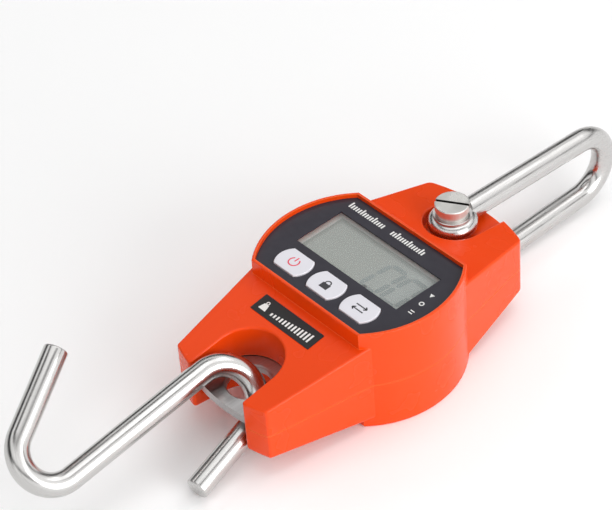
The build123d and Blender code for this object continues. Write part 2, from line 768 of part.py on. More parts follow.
with BuildPart() as shackle_bow:
    with BuildLine(Plane.YZ) as bow_path:
        upper_start = (bow_at + bow_radius * sin(splay), parting_z + bow_radius * cos(splay))
        lower_start = (upper_start[0], 2 * parting_z - upper_start[1])
        leg_start_y = pin_at + eye_radius / 2
        leg_rise = (upper_start[0] - leg_start_y) * tan(splay)
        upper_leg = Line((leg_start_y, upper_start[1] + leg_rise), upper_start)
        bow_end = (bow_at + bow_radius, parting_z)
        ThreePointArc(upper_start, bow_end, lower_start)
        Line(lower_start, (leg_start_y, lower_start[1] - leg_rise))
    with BuildSketch(Plane(origin=bow_path.line @ 0, z_dir=bow_path.line % 0)):
        Circle(rod_radius)
    sweep(path=bow_path.line)
    # round seats for the washer and for the pin's end, cut into the outer sides of the legs
    for seat_z, outwards in ((eye_top, 1), (eye_bottom, -1)):
        with BuildSketch(Plane.XY.offset(seat_z)):
            with Locations((0, pin_at)):
                Circle(washer_radius + washer_seat_gap)
        extrude(amount=outwards * rod_radius, mode=Mode.SUBTRACT)
    eye_half = eye_thickness / 2
    with Locations((0, pin_at, eye_top - eye_half), (0, pin_at, eye_bottom + eye_half)):
        add(eye.part)
    with BuildSketch():
        with Locations((0, pin_at)):
            Circle(bore_radius)
    extrude(amount=tall, mode=Mode.SUBTRACT)
finish(shackle_bow, "shackle_bow")

washer_top = eye_top + washer_thickness
with BuildPart() as pin_washer:
    with BuildSketch(Plane.XY.offset(eye_top)):
        with Locations((0, pin_at)):
            Circle(washer_radius)
            Circle(bore_radius, mode=Mode.SUBTRACT)
    extrude(amount=washer_thickness)
    chamfer(pin_washer.faces().sort_by(Axis.Z)[-1].edges().sort_by(SortBy.LENGTH)[-1], washer_chamfer)
finish(pin_washer, "pin_washer")

head_bottom = washer_top + head_neck_height
with BuildPart() as shackle_pin:
    with BuildSketch(Plane.XY.offset(eye_bottom)):
        with Locations((0, pin_at)):
            Circle(pin_radius)
    extrude(amount=washer_top - eye_bottom)
    with BuildSketch(Plane.XY.offset(washer_top)):
        with Locations((0, pin_at)):
            Circle(head_neck_radius)
    extrude(amount=head_neck_height)
    with BuildSketch(Plane.XY.offset(head_bottom)):
        with Locations((0, pin_at)):
            Circle(head_radius)
    extrude(amount=head_height)
    fillet(shackle_pin.faces().sort_by(Axis.Z)[-1].edges(), head_round)
    with BuildSketch(Plane.XY.offset(head_bottom + head_height - slot_depth)):
        with Locations(Location((0, pin_at), slot_angle)):
            Rectangle(3 * head_radius, slot_width)
    extrude(amount=tall, mode=Mode.SUBTRACT)
    chamfer(shackle_pin.faces().sort_by(Axis.Z)[0].edges(), pin_end_chamfer)
finish(shackle_pin, "shackle_pin")

with BuildPart() as pin_spacers:
    with BuildSketch(Plane.XY.offset(cell_top + spacer_gap)):
        with Locations((0, pin_at)):
            Circle(spacer_radius)
            Circle(bore_radius, mode=Mode.SUBTRACT)
    extrude(amount=eye_up_inside - spacer_eye_gap - cell_top - spacer_gap)
    with BuildSketch(Plane.XY.offset(cell_bottom - spacer_gap)):
        with Locations((0, pin_at)):
            Circle(spacer_radius)
            Circle(bore_radius, mode=Mode.SUBTRACT)
    extrude(amount=eye_down_inside + spacer_eye_gap - cell_bottom + spacer_gap)
finish(pin_spacers, "pin_spacers")

# ---------------------------------------------------------------- S-hook, a planar bend of round bar
shank_direction = Vector(cos(radians(hook_elevation)), 0, sin(radians(hook_elevation)))
shank_direction = shank_direction.rotate(Axis.Z, hook_azimuth)
across = Vector(0, 1, 0).rotate(Axis.Z, hook_azimuth)
toward_tip = across.rotate(Axis((0, 0, 0), shank_direction), hook_roll)
hook_plane = Plane(
    origin=hook_bend_centre, x_dir=shank_direction, z_dir=shank_direction.cross(toward_tip)
)
with BuildPart() as s_hook:
    with BuildLine(hook_plane) as hook_path:
        shank = Line((0, small_bend_radius), (shank_length, small_bend_radius))
        large_bend = JernArc(shank @ 1, shank % 1, large_bend_radius, large_bend_angle)
        Line(large_bend @ 1, (large_bend @ 1) + (large_bend % 1) * tip_length)
        small_bend = JernArc(shank @ 0, -(shank % 0), small_bend_radius, small_bend_angle)
        Line(small_bend @ 1, (small_bend @ 1) + (small_bend % 1) * short_length)
    hook_wire = hook_path.wires()[0]
    with BuildSketch(Plane(origin=hook_wire @ 0, z_dir=hook_wire % 0)):
        Circle(rod_radius)
    sweep(path=hook_wire)
    for end_point in (hook_wire @ 0, hook_wire @ 1):
        fillet(s_hook.edges().filter_by(GeomType.CIRCLE).sort_by_distance(end_point)[0], rod_end_round)
finish(s_hook, "s_hook")

# ---------------------------------------------------------------- batteries and their contacts
cell_rows = (cell_spacing / 2, -cell_spacing / 2)
plate_inner = bay_half_length - contact_thickness
cell_middle = plate_inner - cell_length_aaa / 2
with BuildPart() as battery_cells:
    for row_y, way in zip(cell_rows, (1, -1)):
        nub_end = way * plate_inner
        with BuildSketch(Plane(origin=(nub_end - way * nub_length, row_y, cell_axis_z), z_dir=(way, 0, 0))):
            Circle(cell_radius_aaa)
        extrude(amount=-(cell_length_aaa - nub_length))
        with BuildSketch(Plane(origin=(nub_end - way * nub_length, row_y, cell_axis_z), z_dir=(way, 0, 0))):
            Circle(nub_radius)
        extrude(amount=nub_length)
finish(battery_cells, "battery_cells")

with BuildPart() as battery_contacts:
    for row_y in cell_rows:
        with BuildSketch(Plane(origin=(plate_inner, row_y, 0), x_dir=(0, 1, 0), z_dir=(1, 0, 0))):
            with Locations((0, cell_axis_z)):
                Rectangle(contact_size, contact_size)
        extrude(amount=contact_thickness)
    with BuildSketch(Plane(origin=(-plate_inner, 0, 0), x_dir=(0, 1, 0), z_dir=(1, 0, 0))):
        with Locations((0, cell_axis_z)):
            Rectangle(cell_spacing + contact_size, contact_size)
    extrude(amount=-contact_thickness)
finish(battery_contacts, "battery_contacts")

spring_room = 2 * plate_inner - cell_length_aaa
with BuildPart() as battery_springs:
    for row_y, way in zip(cell_rows, (-1, 1)):
        coil_length = spring_room - 3 * spring_wire
        coil_start = way * (plate_inner - 1.5 * spring_wire)
        with BuildLine():
            coil = Helix(
                pitch=coil_length / spring_turns, height=coil_length, radius=spring_radius,
                center=(coil_start, row_y, cell_axis_z), direction=(-way, 0, 0),
            )
        with BuildSketch(Plane(origin=coil @ 0, z_dir=coil % 0)):
            Circle(spring_wire)
        sweep(path=coil, is_frenet=True)
finish(battery_springs, "battery_springs")

with BuildPart() as cover_pad:
    with BuildSketch(Plane.XY.offset(cover_thickness)):
        Rectangle(pad_length, pad_width)
    extrude(amount=pad_thickness)
finish(cover_pad, "cover_pad")

# ---------------------------------------------------------------- inside leads, held all the way
lead_foot_x = plate_inner - contact_thickness - lead_radius
lead_top_z = bay_top + lead_rise
with BuildPart() as battery_leads:
    for row_y in cell_rows:
        with BuildLine() as route:
            FilletPolyline(
                (lead_foot_x, row_y, bay_top),
                (lead_foot_x, row_y, lead_top_z),
                (lead_foot_x - lead_reach, row_y, lead_top_z),
                (lead_foot_x - lead_reach, row_y, board_bottom),
                radius=lead_bend,
            )
        with BuildSketch(Plane(origin=route.line @ 0, z_dir=route.line % 0)):
            Circle(lead_radius)
        sweep(path=route.line)
finish(battery_leads, "battery_leads")

gauge_lead_z = cell_top + gauge_lead_radius
with BuildPart() as load_cell_lead:
    with BuildLine() as route:
        FilletPolyline(
            (coating_length / 2, 0, gauge_lead_z),
            (gauge_lead_x, 0, gauge_lead_z),
            (gauge_lead_x, 0, board_bottom),
            radius=gauge_lead_bend,
        )
    with BuildSketch(Plane(origin=route.line @ 0, z_dir=route.line % 0)):
        Circle(gauge_lead_radius)
    sweep(path=route.line)
finish(load_cell_lead, "load_cell_lead")

# ---------------------------------------------------------------- sticker on the hook arm
slope = arm_top(hook_arm, 0) - arm_top(hook_arm, 1)
sloping_face = Plane(
    origin=(label_x, -label_at, arm_top(hook_arm, label_at)), x_dir=(1, 0, 0), z_dir=(0, -slope, 1)
)
with BuildPart() as load_sticker:
    with BuildSketch(sloping_face):
        RectangleRounded(label_length, label_height, label_corner)
    extrude(amount=label_thickness)
finish(load_sticker, "load_sticker")
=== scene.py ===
"""Digital hanging scale: finishes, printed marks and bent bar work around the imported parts.

Laid out as an add-on and run as a script.  Lengths are metres unless a name says millimetres.
"""
import json
from math import atan2, cos, pi, radians, sin

import bmesh
import bpy
from bpy.props import FloatProperty, FloatVectorProperty, IntProperty, PointerProperty
from mathutils import Matrix, Vector


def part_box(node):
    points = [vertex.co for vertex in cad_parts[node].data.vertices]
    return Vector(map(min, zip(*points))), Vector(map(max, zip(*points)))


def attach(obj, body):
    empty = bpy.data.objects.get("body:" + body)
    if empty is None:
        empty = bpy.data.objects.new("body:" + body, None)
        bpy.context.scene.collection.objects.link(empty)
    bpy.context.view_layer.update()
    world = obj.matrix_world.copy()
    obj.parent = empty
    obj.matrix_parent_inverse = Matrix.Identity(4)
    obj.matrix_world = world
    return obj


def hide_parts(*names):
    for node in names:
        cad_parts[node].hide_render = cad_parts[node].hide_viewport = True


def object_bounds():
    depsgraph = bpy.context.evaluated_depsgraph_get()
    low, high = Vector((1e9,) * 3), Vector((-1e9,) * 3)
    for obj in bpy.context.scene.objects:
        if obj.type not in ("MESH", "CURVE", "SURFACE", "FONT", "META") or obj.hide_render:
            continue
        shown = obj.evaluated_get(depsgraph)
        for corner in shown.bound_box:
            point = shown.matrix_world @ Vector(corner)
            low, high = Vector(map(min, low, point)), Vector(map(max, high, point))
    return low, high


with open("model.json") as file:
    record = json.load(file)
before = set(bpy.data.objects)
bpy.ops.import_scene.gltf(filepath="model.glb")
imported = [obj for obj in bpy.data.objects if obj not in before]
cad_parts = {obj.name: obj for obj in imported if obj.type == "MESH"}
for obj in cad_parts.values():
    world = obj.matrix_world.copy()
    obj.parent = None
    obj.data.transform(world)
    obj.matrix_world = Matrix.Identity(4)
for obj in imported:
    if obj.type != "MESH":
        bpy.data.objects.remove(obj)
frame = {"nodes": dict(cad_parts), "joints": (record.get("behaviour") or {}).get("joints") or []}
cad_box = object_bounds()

bl_info = {
    "name": "Digital Hanging Scale",
    "version": (1, 0, 0),
    "blender": (4, 5, 0),
    "location": "3D View > Sidebar > Scale",
    "description": "Finishes and printed marks of a digital hanging scale",
    "category": "Object",
}

MM = 0.001
KEYS = ("power", "hold", "unit")
GLASS_MARGIN = 1.75 * MM      # border of the display glass outside the window
ALONG_Y = (1.0, 0.03, 1.0)    # stretches a pattern into lines along Y
ANYWHERE = (0.0, 0.0, 0.0)    # centre of the rings on parts too small to show them
RING_PITCH = 0.22 * MM        # distance between the rings of a turned face
BAR_SIDES = 48                # sides of the round bar's mesh
STRAIGHT_STEPS = 6            # rings along one straight of the bar
BEND_STEPS = 40               # rings along one bend of the bar

# Brightness of each side of the room by the height looked at, from level (0) to overhead (1).
# The dark bands draw the lines on polished bar.
ROOM_LEFT = (
    (0.0, 0.65), (0.14, 0.50), (0.24, 0.03), (0.52, 0.04), (0.60, 0.80), (0.76, 0.80), (0.82, 0.05),
    (0.90, 0.06), (0.94, 1.0),
)
ROOM_RIGHT = (
    (0.0, 0.80), (0.30, 0.85), (0.36, 0.08), (0.44, 0.08), (0.51, 0.90), (0.79, 0.90), (0.85, 0.20),
    (0.91, 0.25), (0.96, 1.0),
)
ROOM_BLEND = (-0.18, 0.14)    # sideways part of the direction over which left turns into right
BACKDROP = (0.95, 0.95, 0.95, 1.0)    # colour behind the floor's far edge


# ---------------------------------------------------------------- settings
def colour(name, description, value):
    """A colour setting in scene linear values."""
    return FloatVectorProperty(
        name=name, description=description, subtype="COLOR", size=3, min=0.0, max=1.0, default=value
    )


def length(name, description, millimetres):
    """A length setting, kept in metres."""
    return FloatProperty(
        name=name, description=description, subtype="DISTANCE", unit="LENGTH", default=millimetres * MM,
        precision=5,
    )


def angle(name, description, degrees):
    """An angle setting, kept in radians."""
    return FloatProperty(name=name, description=description, subtype="ANGLE", default=radians(degrees))


def position(name, description, value):
    """A position setting in metres."""
    return FloatVectorProperty(
        name=name, description=description, subtype="XYZ", unit="LENGTH", size=3, default=value
    )


def wattage(name, description, watts):
    """The power setting of a light."""
    return FloatProperty(name=name, description=description, unit="POWER", default=watts)


class ScaleColours(bpy.types.PropertyGroup):
    """Colours of the plastics, metals, films and inks."""

    housing: colour("Housing", "Moulded shells and battery cover", (0.85, 0.060, 0.002))
    housing_edge: colour("Housing edge", "Light catching on moulded edges", (1.0, 0.20, 0.05))
    film: colour("Panel film", "Printed film of the display panel", (0.031, 0.029, 0.039))
    white_ink: colour("White ink", "Marks on the panel and on the label", (0.86, 0.86, 0.84))
    red_ink: colour("Red ink", "Icon of the power key", (0.80, 0.05, 0.10))
    black_ink: colour("Black ink", "Icons of the other keys", (0.045, 0.045, 0.052))
    display: colour("Display", "Reflective display face", (0.205, 0.229, 0.198))
    segment: colour("Segment", "Display segments that are on", (0.155, 0.19, 0.18))
    key: colour("Key", "Soft keys", (0.76, 0.75, 0.80))
    steel: colour("Polished steel", "Bar of the shackle and the hook", (0.61, 0.60, 0.59))
    nickel: colour("Nickel", "Pin, washer and contacts", (0.74, 0.73, 0.70))
    plate: colour("Load cell", "Satin plate that takes the pull", (0.50, 0.49, 0.49))
    label: colour("Label", "Black vinyl label", (0.010, 0.010, 0.011))


class PrintSizes(bpy.types.PropertyGroup):
    """Sizes of the printed marks."""

    ink: length("Ink", "Thickness of printed ink", 0.03)
    stroke: length("Stroke", "Width of icon strokes", 0.46)
    tick_pitch: length("Tick pitch", "Distance between tick marks", 1.12)
    tick_width: length("Tick width", "Width of one tick mark", 0.62)
    tick_long: length("Long tick", "Height of every fifth tick", 2.7)
    tick_short: length("Short tick", "Height of the other ticks", 1.9)
    tick_count: IntProperty(name="Ticks", description="Number of places for tick marks", default=32)
    digit_height: length("Digit height", "Height of a display digit", 13.4)
    digit_width: length("Digit width", "Width of a display digit", 6.9)
    digit_stroke: length("Digit stroke", "Width of a display segment", 1.85)
    digit_pitch: length("Digit pitch", "Distance between two digits", 9.3)
    digit_slant: angle("Digit slant", "Lean of the digits", 6.0)
    point_radius: length("Point radius", "Radius of the decimal point", 0.9)


class HookSizes(bpy.types.PropertyGroup):
    """Bar and bends of the S-hook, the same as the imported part."""

    bar_radius: length("Bar radius", "Radius of the round bar", 4.0)
    end_round: length("End round", "Soft edge of each cut end", 0.7)
    small_bend: length("Small bend", "Centre line radius of the bend through the plate", 11.6)
    small_angle: angle("Small bend angle", "Turn of the small bend", 169.8)
    large_bend: length("Large bend", "Centre line radius of the load bend", 10.8)
    large_angle: angle("Large bend angle", "Turn of the large bend", 151.3)
    shank: length("Shank", "Straight between the bends", 55.6)
    tip: length("Tip", "Straight after the large bend", 29.7)
    short: length("Short leg", "Straight after the small bend", 27.6)
    heading: angle("Heading", "Heading of the shank", -88.1)
    climb: angle("Climb", "Rise of the shank", -6.5)
    roll: angle("Roll", "Turn of the hook's plane about its shank", 133.5)


class StudioSettings(bpy.types.PropertyGroup):
    """Camera, lights and floor."""

    camera: position("Camera", "Place of the camera", (0.4634, -0.3881, 0.5776))
    azimuth: angle("Azimuth", "Heading of the camera round the scale", 51.64)
    elevation: angle("Elevation", "Height angle of the camera", 41.37)
    roll: angle("Roll", "Lean of the camera", -4.76)
    lens: FloatProperty(
        name="Lens", description="Focal length in millimetres", subtype="DISTANCE_CAMERA", default=147.06
    )
    top_power: wattage("Top", "Soft light overhead and behind", 2.6)
    top_offset: position("Top offset", "Top light's place from the scale's middle", (0.10, 0.55, 1.20))
    top_size: length("Top size", "Side of the top light", 800.0)
    key_power: wattage("Key", "Soft light from the right", 8.0)
    key_offset: position("Key offset", "Key light's place from the scale's middle", (1.15, 0.10, 0.38))
    key_size: length("Key size", "Side of the key light", 700.0)
    sky: FloatProperty(name="Sky", description="Strength of the surrounding light", default=1.36)
    floor: colour("Floor", "Plain floor", (1.0, 1.0, 1.0))
    floor_gap: length("Floor gap", "Distance between the floor and the scale's back", 0.1)
    floor_radius: length("Floor radius", "Reach of the floor", 8000.0)


# ---------------------------------------------------------------- material building
class Recipe:
    """Adds the nodes of one material round its Principled shader.

    Extra constants name the shader's own sockets, with underscores for spaces.
    """

    def __init__(self, name, base, roughness, **constants):
        self.material = bpy.data.materials.new(name)
        self.material.use_nodes = True
        self.material.diffuse_color = (*base, 1.0)
        self.tree = self.material.node_tree
        self.shader = self.tree.nodes["Principled BSDF"]
        self.base = (*base, 1.0)
        self.shader.inputs["Base Color"].default_value = self.base
        self.shader.inputs["Roughness"].default_value = roughness
        for socket, value in constants.items():
            self.shader.inputs[socket.replace("_", " ")].default_value = value
        self.place = self.node("ShaderNodeTexCoord").outputs["Object"]
        self.height = None

    def node(self, kind, wires=None, values=None, **options):
        """One node, with its links, socket values and options."""
        made = self.tree.nodes.new(kind)
        for option, value in options.items():
            setattr(made, option, value)
        for socket, value in (values or {}).items():
            made.inputs[socket].default_value = value
        for socket, source in (wires or {}).items():
            self.tree.links.new(source, made.inputs[socket])
        return made

    def noise(self, scale, detail=3.0, vector=None):
        """Noise in object space, or along another vector."""
        made = self.node(
            "ShaderNodeTexNoise", {"Vector": vector or self.place}, {"Scale": scale, "Detail": detail}
        )
        return made.outputs["Fac"]

    def stretched(self, scale, centre=(0.0, 0.0, 0.0)):
        """Object coordinates moved to a centre and stretched, for brushed and turned finishes."""
        moved = self.node(
            "ShaderNodeMapping", {"Vector": self.place}, {"Location": [-value for value in centre]}
        )
        return self.node("ShaderNodeMapping", {"Vector": moved.outputs[0]}, {"Scale": scale}).outputs[0]

    def remap(self, source, low, high, start=0.35, stop=0.65):
        """A factor spread over new limits."""
        made = self.node(
            "ShaderNodeMapRange", {"Value": source},
            {"From Min": start, "From Max": stop, "To Min": low, "To Max": high},
        )
        return made.outputs[0]

    def math(self, operation, first, second=0.0):
        """One arithmetic step between sockets or numbers."""
        made = self.node("ShaderNodeMath", operation=operation)
        for index, value in enumerate((first, second)):
            if isinstance(value, (int, float)):
                made.inputs[index].default_value = value
            else:
                self.tree.links.new(value, made.inputs[index])
        return made.outputs[0]

    def tint(self, factor, other):
        """Mixes another colour over the base colour."""
        current = self.shader.inputs["Base Color"]
        made = self.node("ShaderNodeMix", data_type="RGBA")
        first, second = [socket for socket in made.inputs if socket.type == "RGBA"]
        first.default_value = self.base
        second.default_value = (*other, 1.0)
        if current.is_linked:
            self.tree.links.new(current.links[0].from_socket, first)
        self.tree.links.new(factor, made.inputs[0])
        self.tree.links.new(next(socket for socket in made.outputs if socket.type == "RGBA"), current)

    def rough(self, factor):
        """Drives roughness."""
        self.tree.links.new(factor, self.shader.inputs["Roughness"])

    def bump(self, factor, depth, strength):
        """Adds relief; several calls stack."""
        made = self.node("ShaderNodeBump", {"Height": factor}, {"Distance": depth, "Strength": strength})
        if self.height is not None:
            self.tree.links.new(self.height, made.inputs["Normal"])
        self.height = made.outputs[0]
        self.tree.links.new(self.height, self.shader.inputs["Normal"])


def darker(value, share):
    """The same hue, darker, or lighter when the share is above one."""
    return tuple(min(1.0, channel * share) for channel in value)


def paint_edge_highlight(recipe, radius, share, edge):
    """Paints a highlight on the edges of a moulding, where light would catch them."""
    rounded = recipe.node("ShaderNodeBevel", values={"Radius": radius}, samples=8)
    plain = recipe.node("ShaderNodeNewGeometry")
    turn = recipe.node(
        "ShaderNodeVectorMath", {0: rounded.outputs[0], 1: plain.outputs["Normal"]}, operation="DOT_PRODUCT"
    )
    # painted highlight: the edge colour is mixed in where the rounded normal turns away from the plain
    # normal
    recipe.tint(recipe.remap(turn.outputs["Value"], share, 0.0, 0.82, 0.995), edge)


def moulded_plastic(name, base, edge):
    """Glossy moulded plastic: fine mould grain, faint flow marks and a painted highlight on its edges."""
    recipe = Recipe(name, base, 0.24, IOR=1.5, Specular_IOR_Level=0.28)
    recipe.tint(recipe.remap(recipe.noise(11.0, 1.0), 0.0, 0.30), darker(base, 0.90))
    # painted highlight on the moulded edges
    paint_edge_highlight(recipe, 0.0007, 0.60, edge)
    recipe.rough(recipe.remap(recipe.noise(70.0, 2.0), 0.21, 0.29))
    recipe.bump(recipe.noise(2600.0, 2.0), 0.000012, 0.4)
    return recipe.material


def satin_moulding(name, base, roughness=0.45, scale=1500.0, depth=0.00001):
    """Plain moulded part with a fine even grain."""
    recipe = Recipe(name, base, roughness, IOR=1.49)
    recipe.tint(recipe.remap(recipe.noise(90.0, 4.0), 0.0, 0.5), darker(base, 0.82))
    recipe.rough(recipe.remap(recipe.noise(300.0), roughness - 0.06, roughness + 0.08))
    recipe.bump(recipe.noise(scale, 2.0), depth, 0.6)
    return recipe.material


def soft_key(name, base):
    """Soft rubber key: satin, fine grain and a painted highlight on its rim."""
    recipe = Recipe(name, base, 0.42, IOR=1.45)
    recipe.tint(recipe.remap(recipe.noise(120.0, 2.0), 0.0, 0.30), darker(base, 0.90))
    # painted highlight: a paler colour on the key's rim
    paint_edge_highlight(recipe, 0.0005, 0.8, (0.92, 0.92, 0.95))
    recipe.rough(recipe.remap(recipe.noise(300.0), 0.38, 0.50))
    recipe.bump(recipe.noise(2100.0, 2.0), 0.000008, 0.5)
    return recipe.material


def printed_film(name, base):
    """Screen-printed polycarbonate film with a fine velvet grain."""
    recipe = Recipe(name, base, 0.36, IOR=1.5, Specular_IOR_Level=0.3)
    recipe.tint(recipe.remap(recipe.noise(60.0), 0.0, 0.5), darker(base, 1.18))
    recipe.rough(recipe.remap(recipe.noise(450.0, 4.0), 0.30, 0.42))
    recipe.bump(recipe.noise(5200.0, 1.0), 0.000006, 0.4)
    return recipe.material


def ink(name, base):
    """Screen-printed ink: slightly uneven cover and a satin face."""
    recipe = Recipe(name, base, 0.5)
    recipe.tint(recipe.remap(recipe.noise(900.0, 5.0), 0.0, 0.4), darker(base, 0.82))
    recipe.bump(recipe.noise(3800.0), 0.000006, 0.5)
    return recipe.material


def bar_steel(name, base):
    """Polished round bar: long fine lines that follow the bar, read from the bar attribute."""
    recipe = Recipe(name, base, 0.13, Metallic=1.0)
    bar = recipe.node("ShaderNodeAttribute", attribute_name="bar").outputs["Vector"]
    stretch = recipe.node("ShaderNodeMapping", {"Vector": bar}, {"Scale": (1.0, 1.0, 0.02)}).outputs[0]
    lines = recipe.noise(2200.0, 4.0, stretch)
    patches = recipe.noise(60.0, 3.0, bar)
    recipe.tint(recipe.remap(lines, 0.0, 0.35), darker(base, 0.80))
    recipe.rough(recipe.math("ADD", recipe.remap(lines, 0.13, 0.24), recipe.remap(patches, 0.0, 0.07)))
    recipe.bump(lines, 0.000004, 0.35)
    return recipe.material


def polished_steel(name, base):
    """Polished steel with fine lines along Y."""
    recipe = Recipe(name, base, 0.14, Metallic=1.0)
    lines = recipe.noise(1900.0, 4.0, recipe.stretched(ALONG_Y))
    patches = recipe.noise(70.0)
    recipe.tint(recipe.remap(lines, 0.0, 0.35), darker(base, 0.80))
    recipe.rough(recipe.math("ADD", recipe.remap(lines, 0.15, 0.27), recipe.remap(patches, 0.0, 0.07)))
    recipe.bump(lines, 0.000004, 0.35)
    return recipe.material


def turned_recipe(name, base, centre, roughness):
    """Recipe of a turned part: fine rings round an upright axis and coarser sides."""
    recipe = Recipe(name, base, roughness, Metallic=1.0)
    spot = recipe.stretched((1.0, 1.0, 0.0), centre)
    radius = recipe.node("ShaderNodeVectorMath", {0: spot}, operation="LENGTH").outputs["Value"]
    rings = recipe.math("SINE", recipe.math("MULTIPLY", radius, 2 * pi / RING_PITCH))
    patches = recipe.noise(160.0, 4.0)
    recipe.tint(recipe.remap(patches, 0.0, 0.5), darker(base, 0.84))
    normal = recipe.node("ShaderNodeNewGeometry").outputs["Normal"]
    upright = recipe.node("ShaderNodeSeparateXYZ", {0: normal}).outputs["Z"]
    side = recipe.remap(recipe.math("ABSOLUTE", upright), 0.20, 0.0, 0.3, 0.9)
    recipe.rough(recipe.math("ADD", recipe.remap(patches, roughness - 0.05, roughness + 0.09), side))
    recipe.bump(rings, 0.000003, 0.25)
    recipe.bump(recipe.noise(900.0), 0.000005, 0.3)
    return recipe, radius


def plated_metal(name, base, centre, roughness):
    """Plated metal: turnings, screws and small stamped or coiled parts."""
    return turned_recipe(name, base, centre, roughness)[0].material


def slotted_pin(name, base, low, high):
    """Turned pin with dark grease and painted shade in its driver slot."""
    recipe, radius = turned_recipe(name, base, (low + high) / 2, 0.30)
    lip = 0.12 * MM
    slot_depth = 1.8 * MM
    slot_reach = (high.x - low.x) / 2 - 0.2 * MM
    height = recipe.node("ShaderNodeSeparateXYZ", {"Vector": recipe.place}).outputs["Z"]
    under = recipe.math("LESS_THAN", height, high.z - lip)
    above = recipe.math("GREATER_THAN", height, high.z - slot_depth)
    inside = recipe.math("LESS_THAN", radius, slot_reach)
    # dark grease and painted shade: darkens the slot below the lip, above the slot's depth and inside its
    # reach
    recipe.tint(recipe.math("MULTIPLY", recipe.math("MULTIPLY", under, above), inside), (0.05, 0.045, 0.04))
    return recipe.material


def brushed_plate(name, base):
    """Satin machined plate, brushed along its length."""
    recipe = Recipe(name, base, 0.34, Metallic=1.0)
    lines = recipe.noise(1500.0, 4.0, recipe.stretched(ALONG_Y))
    recipe.tint(recipe.remap(lines, 0.0, 0.5), darker(base, 0.80))
    recipe.rough(recipe.remap(lines, 0.28, 0.44))
    recipe.bump(lines, 0.000008, 0.5)
    return recipe.material


def display_face(name, base, low, high, halves):
    """Reflective display: grey-green, bluer towards +X, with painted shade darkening it towards +Y and a
    painted highlight as a pale border line.
    """
    recipe = Recipe(name, base, 0.30, Coat_Weight=0.6, Coat_Roughness=0.08)
    axes = recipe.node("ShaderNodeSeparateXYZ", {"Vector": recipe.place})
    # painted shade: the display darker towards +Y, the window's far side, as if shaded by the window wall
    painted_far_shade = recipe.remap(axes.outputs["Y"], 0.0, 0.32, low.y, high.y)
    recipe.tint(painted_far_shade, darker(base, 0.72))
    across = recipe.remap(axes.outputs["X"], 0.0, 0.40, 0.0, high.x)
    recipe.tint(across, (0.30, 0.36, 0.37))
    centre = (low + high) / 2
    spans = []
    for index, half in enumerate(halves):
        offset = recipe.math("SUBTRACT", axes.outputs[index], centre[index])
        spans.append(recipe.math("DIVIDE", recipe.math("ABSOLUTE", offset), half))
    # painted highlight: a pale line just inside the window's edge, standing in for light on a bevel
    border = recipe.remap(recipe.math("MAXIMUM", *spans), 0.0, 0.55, 0.965, 0.985)
    recipe.tint(border, (0.62, 0.65, 0.62))
    recipe.rough(recipe.remap(recipe.noise(700.0), 0.28, 0.32))
    return recipe.material


def clear_window(name, base):
    """Clear acrylic window: nearly all see-through, glossy, with faint wipe marks."""
    recipe = Recipe(name, base, 0.06, IOR=1.49, Alpha=0.10)
    recipe.rough(recipe.remap(recipe.noise(50.0, 5.0), 0.03, 0.08))
    return recipe.material


def circuit_green(name, base):
    """Solder mask over copper tracks and a weave of glass cloth."""
    recipe = Recipe(name, base, 0.30, Coat_Weight=0.4)
    tracks = recipe.node(
        "ShaderNodeTexBrick", {"Vector": recipe.place},
        {"Scale": 260.0, "Mortar Size": 0.09, "Color1": (0, 0, 0, 1), "Color2": (0, 0, 0, 1),
         "Mortar": (1, 1, 1, 1)},
    )
    recipe.tint(recipe.math("MULTIPLY", tracks.outputs["Fac"], 0.6), (0.10, 0.36, 0.14))
    recipe.bump(tracks.outputs["Fac"], 0.00002, 0.5)
    recipe.bump(recipe.noise(1800.0), 0.00001, 0.4)
    return recipe.material


def cell_jacket(name, base, low, high):
    """Printed shrink jacket with a light band at one end."""
    recipe = Recipe(name, base, 0.28, Metallic=0.35)
    axes = recipe.node("ShaderNodeSeparateXYZ", {"Vector": recipe.place})
    band_start = low.x + (high.x - low.x) * 0.68
    band = recipe.math("GREATER_THAN", axes.outputs["X"], band_start)
    recipe.tint(band, (0.62, 0.47, 0.16))
    recipe.rough(recipe.remap(recipe.noise(500.0), 0.22, 0.34))
    recipe.bump(recipe.noise(900.0), 0.000006, 0.4)
    return recipe.material


# ---------------------------------------------------------------- piece building
def keep_piece(bm, name, place, material, body):
    """Turns a bmesh into a named piece at its place, riding on a body."""
    bmesh.ops.transform(bm, matrix=place, verts=bm.verts)
    bmesh.ops.recalc_face_normals(bm, faces=bm.faces)
    mesh = bpy.data.meshes.new(name)
    bm.to_mesh(mesh)
    bm.free()
    mesh.materials.append(material)
    piece = bpy.data.objects.new(name, mesh)
    bpy.context.scene.collection.objects.link(piece)
    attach(piece, body)
    return piece


def shared(name, make, base):
    """A finish that several pieces share, made once."""
    return bpy.data.materials.get(name) or make(name, base)


def dress(material, *nodes):
    """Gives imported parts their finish."""
    for node in nodes:
        part = frame["nodes"][node]
        part.data.materials.clear()
        part.data.materials.append(material)


def patch(bm, centre, size, turn=0.0):
    """A flat rectangle of ink."""
    turned = Matrix.Translation((*centre, 0.0)) @ Matrix.Rotation(turn, 4, "Z")
    place = turned @ Matrix.Diagonal((*size, 1.0, 1.0))
    bmesh.ops.create_grid(bm, x_segments=1, y_segments=1, size=0.5, matrix=place)


def stroke(bm, start, end, width):
    """A straight ink stroke between two points."""
    run = Vector(end) - Vector(start)
    patch(bm, (Vector(start) + Vector(end)) / 2, (run.length, width), atan2(run.y, run.x))


